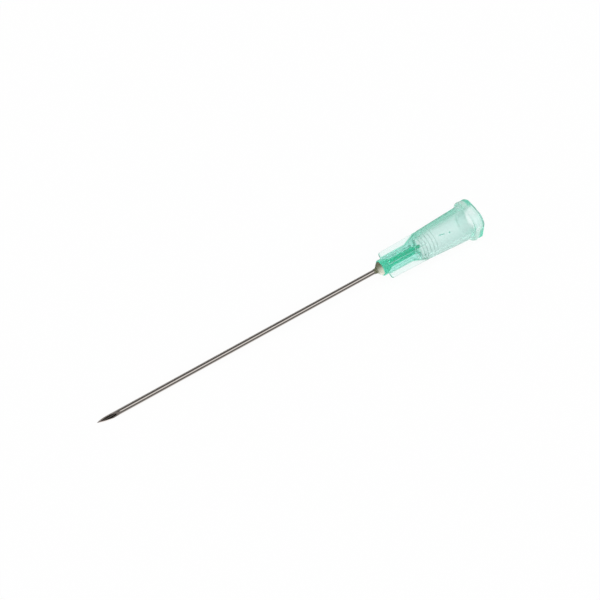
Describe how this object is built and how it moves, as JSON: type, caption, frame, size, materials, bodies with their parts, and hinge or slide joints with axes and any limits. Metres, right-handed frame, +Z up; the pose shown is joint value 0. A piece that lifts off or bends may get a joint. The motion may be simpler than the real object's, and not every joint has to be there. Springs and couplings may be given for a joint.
{
  "type": "hypodermic needle",
  "caption": "Bevelled steel injection tube glued into a finned, tapered, tinted plastic hub with a squared flange and a conical socket.",
  "frame": {"origin": "on the surface the needle lies on, under the middle of its bounding box", "axes": "+X along the needle from the point to the open mouth of the hub, raised 2.26 degrees at the hub end as it lies; +Z up; +Y across"},
  "size_m": [0.0682, 0.006, 0.006],
  "materials": {
    "tinted_plastic": "clear natural polypropylene with a mint green tint, smooth moulded surface",
    "steel": "bright drawn stainless tube, fine ground bevel",
    "epoxy": "cured cream epoxy, slightly glossy"
  },
  "bodies": {
    "root": {"hub": "tinted_plastic", "cannula": "steel", "adhesive": "epoxy"}
  },
  "joints": []
}
